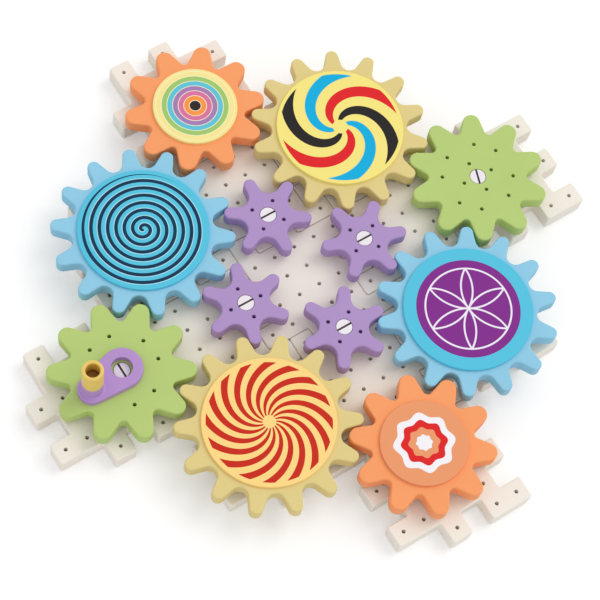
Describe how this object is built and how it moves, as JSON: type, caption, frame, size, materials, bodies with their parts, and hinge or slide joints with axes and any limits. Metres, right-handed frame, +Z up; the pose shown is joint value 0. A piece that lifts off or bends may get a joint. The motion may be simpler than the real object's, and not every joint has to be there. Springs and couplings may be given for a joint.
{
  "type": "crank gear toy",
  "caption": "Peg-hole board of interlocking tiles carrying a closed train of petal-toothed gears on plug-in axles, with printed discs and a hand crank that turns them all.",
  "frame": {"origin": "middle of the board's underside, on the surface it lies on", "axes": "+X right and +Y away along the tile rows, +Z up along the gear axles"},
  "size_m": [0.3896, 0.3896, 0.0632],
  "materials": {
    "board_cream": "cream opaque matt paint, no grain showing",
    "axle_white": "off-white, satin",
    "paint_blue": "light blue opaque matt paint, no grain showing",
    "paint_yellow": "mustard yellow opaque matt paint, no grain showing",
    "paint_orange": "orange opaque matt paint, no grain showing",
    "paint_green": "leaf green opaque matt paint, no grain showing",
    "paint_purple": "purple opaque matt paint, no grain showing",
    "print_blue_spiral": "printed face, matt",
    "print_pinwheel": "printed face, matt",
    "print_rosette": "printed face, matt",
    "print_red_swirl": "printed face, matt",
    "print_rainbow_rings": "printed face, matt",
    "print_scallops": "printed face, matt",
    "crank_lilac": "lilac, satin, moulded look",
    "knob_yellow": "yellow, satin, moulded look",
    "pin_ochre": "dark ochre, satin"
  },
  "bodies": {
    "board": {"tile_centre": "board_cream", "tile_north": "board_cream", "tile_east": "board_cream", "tile_south": "board_cream", "tile_west": "board_cream", "tile_northeast": "board_cream", "tile_southeast": "board_cream", "tile_southwest": "board_cream", "tile_northwest": "board_cream", "tile_far_north": "board_cream", "tile_far_east": "board_cream", "tile_far_south": "board_cream", "tile_far_west": "board_cream", "axle_base_northwest": "axle_white", "axle_base_northeast": "axle_white", "axle_base_southeast": "axle_white", "axle_base_southwest": "axle_white", "axle_base_north": "axle_white", "axle_base_east": "axle_white", "axle_base_south": "axle_white", "axle_base_west": "axle_white", "axle_base_inner_north": "axle_white", "axle_base_inner_east": "axle_white", "axle_base_inner_south": "axle_white", "axle_base_inner_west": "axle_white", "axle_screws": "axle_white"},
    "blue_gear_northwest_body": {"blue_gear_northwest": "paint_blue", "disc_northwest": "print_blue_spiral"},
    "yellow_gear_northeast_body": {"yellow_gear_northeast": "paint_yellow", "disc_northeast": "print_pinwheel"},
    "blue_gear_southeast_body": {"blue_gear_southeast": "paint_blue", "disc_southeast": "print_rosette"},
    "yellow_gear_southwest_body": {"yellow_gear_southwest": "paint_yellow", "disc_southwest": "print_red_swirl"},
    "orange_gear_north_body": {"orange_gear_north": "paint_orange", "disc_north": "print_rainbow_rings"},
    "green_gear_east_body": {"green_gear_east": "paint_green"},
    "orange_gear_south_body": {"orange_gear_south": "paint_orange", "disc_south": "print_scallops"},
    "green_gear_west_body": {"green_gear_west": "paint_green", "crank_arm": "crank_lilac", "crank_pin": "pin_ochre"},
    "purple_gear_north_body": {"purple_gear_north": "paint_purple"},
    "purple_gear_east_body": {"purple_gear_east": "paint_purple"},
    "purple_gear_south_body": {"purple_gear_south": "paint_purple"},
    "purple_gear_west_body": {"purple_gear_west": "paint_purple"},
    "crank_knob_body": {"crank_knob": "knob_yellow"}
  },
  "joints": [
    {"name": "blue_gear_northwest_turn", "type": "hinge", "parent": "board", "child": "blue_gear_northwest_body", "pos_m": [-0.075, 0.075, 0.028], "axis": [0, 0, 1], "continuous": true},
    {"name": "yellow_gear_northeast_turn", "type": "hinge", "parent": "board", "child": "yellow_gear_northeast_body", "pos_m": [0.075, 0.075, 0.028], "axis": [0, 0, 1], "continuous": true},
    {"name": "blue_gear_southeast_turn", "type": "hinge", "parent": "board", "child": "blue_gear_southeast_body", "pos_m": [0.075, -0.075, 0.028], "axis": [0, 0, 1], "continuous": true},
    {"name": "yellow_gear_southwest_turn", "type": "hinge", "parent": "board", "child": "yellow_gear_southwest_body", "pos_m": [-0.075, -0.075, 0.028], "axis": [0, 0, 1], "continuous": true},
    {"name": "orange_gear_north_turn", "type": "hinge", "parent": "board", "child": "orange_gear_north_body", "pos_m": [0, 0.135, 0.028], "axis": [0, 0, 1], "continuous": true},
    {"name": "green_gear_east_turn", "type": "hinge", "parent": "board", "child": "green_gear_east_body", "pos_m": [0.135, 0, 0.028], "axis": [0, 0, 1], "continuous": true},
    {"name": "orange_gear_south_turn", "type": "hinge", "parent": "board", "child": "orange_gear_south_body", "pos_m": [0, -0.135, 0.028], "axis": [0, 0, 1], "continuous": true},
    {"name": "crank_turn", "type": "hinge", "parent": "board", "child": "green_gear_west_body", "pos_m": [-0.135, 0, 0.028], "axis": [0, 0, 1], "continuous": true},
    {"name": "purple_gear_north_turn", "type": "hinge", "parent": "board", "child": "purple_gear_north_body", "pos_m": [0, 0.045, 0.028], "axis": [0, 0, 1], "continuous": true},
    {"name": "purple_gear_east_turn", "type": "hinge", "parent": "board", "child": "purple_gear_east_body", "pos_m": [0.045, 0, 0.028], "axis": [0, 0, 1], "continuous": true},
    {"name": "purple_gear_south_turn", "type": "hinge", "parent": "board", "child": "purple_gear_south_body", "pos_m": [0, -0.045, 0.028], "axis": [0, 0, 1], "continuous": true},
    {"name": "purple_gear_west_turn", "type": "hinge", "parent": "board", "child": "purple_gear_west_body", "pos_m": [-0.045, 0, 0.028], "axis": [0, 0, 1], "continuous": true},
    {"name": "knob_spin", "type": "hinge", "parent": "green_gear_west_body", "child": "crank_knob_body", "pos_m": [-0.15733, -0.00278, 0.0452], "axis": [0, 0, 1], "continuous": true}
  ],
  "couplings": [
    {"joint": "blue_gear_northwest_turn", "follows": "crank_turn", "ratio": -0.71429},
    {"joint": "yellow_gear_northeast_turn", "follows": "crank_turn", "ratio": -0.71429},
    {"joint": "blue_gear_southeast_turn", "follows": "crank_turn", "ratio": -0.71429},
    {"joint": "yellow_gear_southwest_turn", "follows": "crank_turn", "ratio": -0.71429},
    {"joint": "orange_gear_north_turn", "follows": "crank_turn", "ratio": 1},
    {"joint": "green_gear_east_turn", "follows": "crank_turn", "ratio": 1},
    {"joint": "orange_gear_south_turn", "follows": "crank_turn", "ratio": 1},
    {"joint": "purple_gear_north_turn", "follows": "crank_turn", "ratio": 1.6667},
    {"joint": "purple_gear_east_turn", "follows": "crank_turn", "ratio": 1.6667},
    {"joint": "purple_gear_south_turn", "follows": "crank_turn", "ratio": 1.6667},
    {"joint": "purple_gear_west_turn", "follows": "crank_turn", "ratio": 1.6667}
  ]
}
